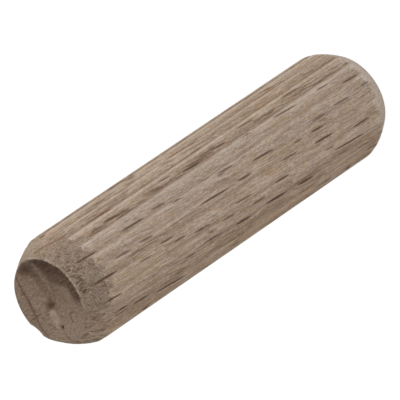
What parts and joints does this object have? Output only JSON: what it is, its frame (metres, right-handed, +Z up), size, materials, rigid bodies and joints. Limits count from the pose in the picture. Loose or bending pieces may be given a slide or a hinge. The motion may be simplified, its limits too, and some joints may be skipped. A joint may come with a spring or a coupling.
{
  "type": "dowel pin",
  "caption": "Fluted wooden dowel pin with a chamfer at both ends, a flat foot and a torn, cupped head, for gluing two boards together.",
  "frame": {"origin": "centre of the flat foot, on the surface that the pin stands on", "axes": "+Z up along the pin, from the foot to the torn head; valleys of the flutes lie on the X and Y axes; the growth rings cross the head nearly along X, and the flecked side faces -Y"},
  "size_m": [0.01, 0.01, 0.04],
  "materials": {
    "beech": "raw beech, dry and dull, with short dark ray flecks and rougher, greyer end grain on the chamfers and the head"
  },
  "bodies": {
    "root": {"dowel_pin": "beech"}
  },
  "joints": []
}
